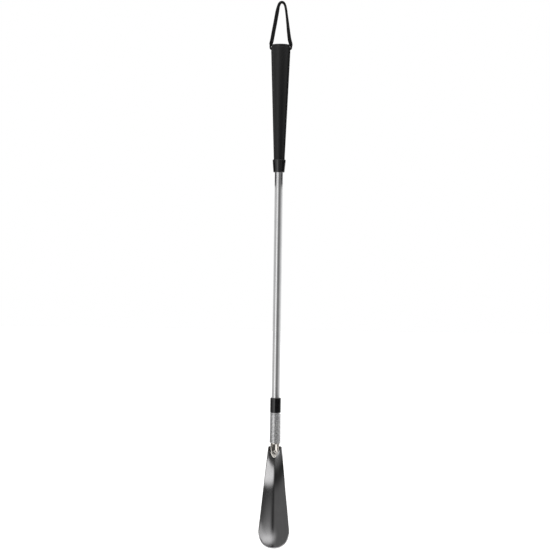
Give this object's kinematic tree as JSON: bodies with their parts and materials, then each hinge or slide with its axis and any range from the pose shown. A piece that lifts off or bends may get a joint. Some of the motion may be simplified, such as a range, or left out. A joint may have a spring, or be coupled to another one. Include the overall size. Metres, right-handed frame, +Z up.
{
  "type": "long shoehorn",
  "caption": "Long shoehorn with a tapered grip, a hanging loop, a slim metal shaft and a scoop blade on a flexible coil spring neck.",
  "frame": {"origin": "inside of the hanging loop's top, where a peg or hook holds it", "axes": "+Z up along the shaft, the blade's hollow side facing -Y, +X to the right when looking into the hollow side"},
  "size_m": [0.0378, 0.0236, 0.6617],
  "materials": {
    "lace": "woven flat lace",
    "grip_plastic": "satin moulded",
    "gloss_black": "smooth gloss moulded",
    "inner_plastic": "natural moulded",
    "tube_chrome": "bright plated steel",
    "spring_steel": "drawn wire, zinc plated",
    "plug_steel": "turned",
    "nickel": "nickel plated",
    "blade_steel": "dark polished steel"
  },
  "bodies": {
    "loop": {"hanging_loop": "lace", "loop_knot": "lace"},
    "shaft": {"handle_end_cap": "grip_plastic", "handle_grip": "grip_plastic", "handle_collar": "gloss_black", "tube_top_bush": "inner_plastic", "shaft_tube": "tube_chrome", "lower_sleeve": "gloss_black", "spring_plug": "plug_steel", "spring_plug_pin": "plug_steel", "spring_coils_1": "spring_steel"},
    "spring_2": {"spring_coils_2": "spring_steel"},
    "spring_3": {"spring_coils_3": "spring_steel"},
    "spring_4": {"spring_coils_4": "spring_steel"},
    "spring_5": {"spring_coils_5": "spring_steel"},
    "spring_6": {"spring_coils_6": "spring_steel"},
    "spring_7": {"spring_coils_7": "spring_steel"},
    "spring_8": {"spring_coils_8": "spring_steel"},
    "blade": {"spring_coils_9": "spring_steel", "blade_socket": "nickel", "blade_rivet": "nickel", "shoe_blade": "blade_steel"}
  },
  "joints": [
    {"name": "loop_swing", "type": "hinge", "parent": "loop", "child": "shaft", "pos_m": [0, 0, -0.0562], "axis": [1, 0, 0], "range_deg": [-90, 90]},
    {"name": "spring_bend_1", "type": "hinge", "parent": "shaft", "child": "spring_2", "pos_m": [0, 0, -0.5004], "axis": [1, 0, 0], "range_deg": [-9.5, 9.5], "stiffness_Nm_per_rad": 1.6},
    {"name": "spring_side_1", "type": "hinge", "parent": "spring_2", "child": "spring_3", "pos_m": [0, 0, -0.50435], "axis": [0, 1, 0], "range_deg": [-9.5, 9.5], "stiffness_Nm_per_rad": 1.6},
    {"name": "spring_bend_2", "type": "hinge", "parent": "spring_3", "child": "spring_4", "pos_m": [0, 0, -0.5083], "axis": [1, 0, 0], "range_deg": [-9.5, 9.5], "stiffness_Nm_per_rad": 1.6},
    {"name": "spring_side_2", "type": "hinge", "parent": "spring_4", "child": "spring_5", "pos_m": [0, 0, -0.51225], "axis": [0, 1, 0], "range_deg": [-9.5, 9.5], "stiffness_Nm_per_rad": 1.6},
    {"name": "spring_bend_3", "type": "hinge", "parent": "spring_5", "child": "spring_6", "pos_m": [0, 0, -0.5162], "axis": [1, 0, 0], "range_deg": [-9.5, 9.5], "stiffness_Nm_per_rad": 1.6},
    {"name": "spring_side_3", "type": "hinge", "parent": "spring_6", "child": "spring_7", "pos_m": [0, 0, -0.52015], "axis": [0, 1, 0], "range_deg": [-9.5, 9.5], "stiffness_Nm_per_rad": 1.6},
    {"name": "spring_bend_4", "type": "hinge", "parent": "spring_7", "child": "spring_8", "pos_m": [0, 0, -0.5241], "axis": [1, 0, 0], "range_deg": [-9.5, 9.5], "stiffness_Nm_per_rad": 1.6},
    {"name": "spring_side_4", "type": "hinge", "parent": "spring_8", "child": "blade", "pos_m": [0, 0, -0.52805], "axis": [0, 1, 0], "range_deg": [-9.5, 9.5], "stiffness_Nm_per_rad": 1.6}
  ],
  "couplings": [
    {"joint": "spring_bend_2", "follows": "spring_bend_1", "ratio": 1},
    {"joint": "spring_side_2", "follows": "spring_side_1", "ratio": 1},
    {"joint": "spring_bend_3", "follows": "spring_bend_1", "ratio": 1},
    {"joint": "spring_side_3", "follows": "spring_side_1", "ratio": 1},
    {"joint": "spring_bend_4", "follows": "spring_bend_1", "ratio": 1},
    {"joint": "spring_side_4", "follows": "spring_side_1", "ratio": 1}
  ]
}
